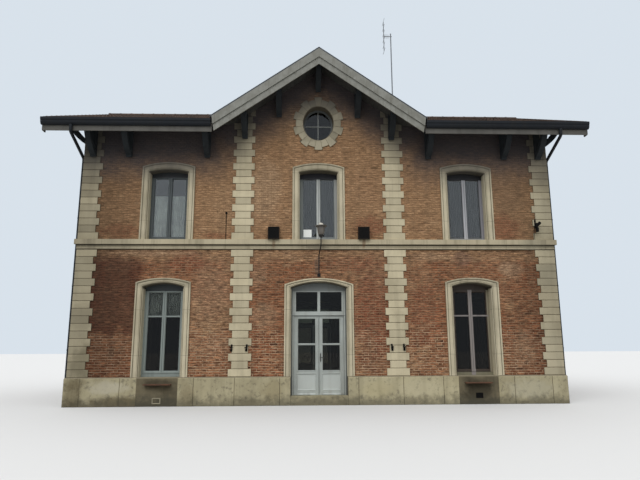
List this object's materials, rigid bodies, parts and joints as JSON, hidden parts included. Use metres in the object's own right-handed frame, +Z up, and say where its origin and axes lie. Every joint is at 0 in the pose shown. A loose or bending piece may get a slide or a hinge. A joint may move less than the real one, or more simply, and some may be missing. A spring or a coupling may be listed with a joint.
{
  "type": "railway station building",
  "caption": "Two-storey brick station building with stone quoins and surrounds, a cross gable with an oval window, bracketed eaves and a pair of opening front doors.",
  "frame": {"origin": "middle of the plan at ground level, on the underside of the plinth and ground floor", "axes": "+X along the front to the right as seen from outside it, +Y from the front to the rear, +Z up; the front faces -Y"},
  "size_m": [15.7, 9.94, 14.25],
  "materials": {
    "brick": "rough",
    "dressed_stone": "matte",
    "plinth_stone": "rough",
    "floor": "matte",
    "timber_floor": "matte",
    "window_paint": "satin paint",
    "door_paint": "satin paint",
    "glass": "clear",
    "roof": "matte",
    "board_paint": "weathered paint",
    "zinc": "weathered",
    "timber_paint": "weathered paint",
    "rusty_steel": "rusted",
    "black_metal": "matte",
    "lamp_metal": "satin",
    "aluminium": "dull",
    "handle_metal": "satin",
    "net_curtain": "matte"
  },
  "bodies": {
    "building": {"long_plinths": "plinth_stone", "end_plinths": "plinth_stone", "door_thresholds": "plinth_stone", "ground_floor": "floor", "first_floor": "timber_floor", "attic_floor": "timber_floor", "long_ground_walls": "brick", "door_head_walls": "brick", "end_ground_walls": "brick", "string_courses": "dressed_stone", "end_string_courses": "dressed_stone", "front_upper_wall": "brick", "rear_upper_wall": "brick", "end_upper_walls": "brick", "front_gable_wall": "brick", "rear_gable_wall": "brick", "end_gable_walls": "brick", "corner_quoins": "dressed_stone", "pier_quoins": "dressed_stone", "ground_window_surrounds": "dressed_stone", "upper_window_surrounds": "dressed_stone", "door_surrounds": "dressed_stone", "oculus_surrounds": "dressed_stone", "ground_window_frames": "window_paint", "upper_window_frames": "window_paint", "window_glass": "glass", "fanlight_glass": "glass", "door_frames": "door_paint", "rear_door_leaves": "door_paint", "main_roof_left": "roof", "main_roof_right": "roof", "front_gable_roof": "roof", "rear_gable_roof": "roof", "ridge_tiles": "roof", "verge_flashings": "zinc", "eaves_fascias": "board_paint", "gutters": "zinc", "gable_bargeboards": "board_paint", "verge_boards": "board_paint", "roof_brackets": "timber_paint", "downpipes": "zinc", "door_lamp": "lamp_metal", "wall_boxes": "black_metal", "window_ledges": "rusty_steel", "tv_aerial": "aluminium"},
    "left_leaf": {"left_door_leaf": "door_paint", "left_door_glass": "glass"},
    "right_leaf": {"right_door_leaf": "door_paint", "right_door_glass": "glass", "door_handle": "handle_metal"}
  },
  "joints": [
    {"name": "left_leaf_hinge", "type": "hinge", "parent": "building", "child": "left_leaf", "pos_m": [-0.717, -3.668, 0.4], "axis": [0, 0, 1], "range_deg": [0, 100]},
    {"name": "right_leaf_hinge", "type": "hinge", "parent": "building", "child": "right_leaf", "pos_m": [0.717, -3.668, 0.4], "axis": [0, 0, -1], "range_deg": [0, 100]}
  ]
}
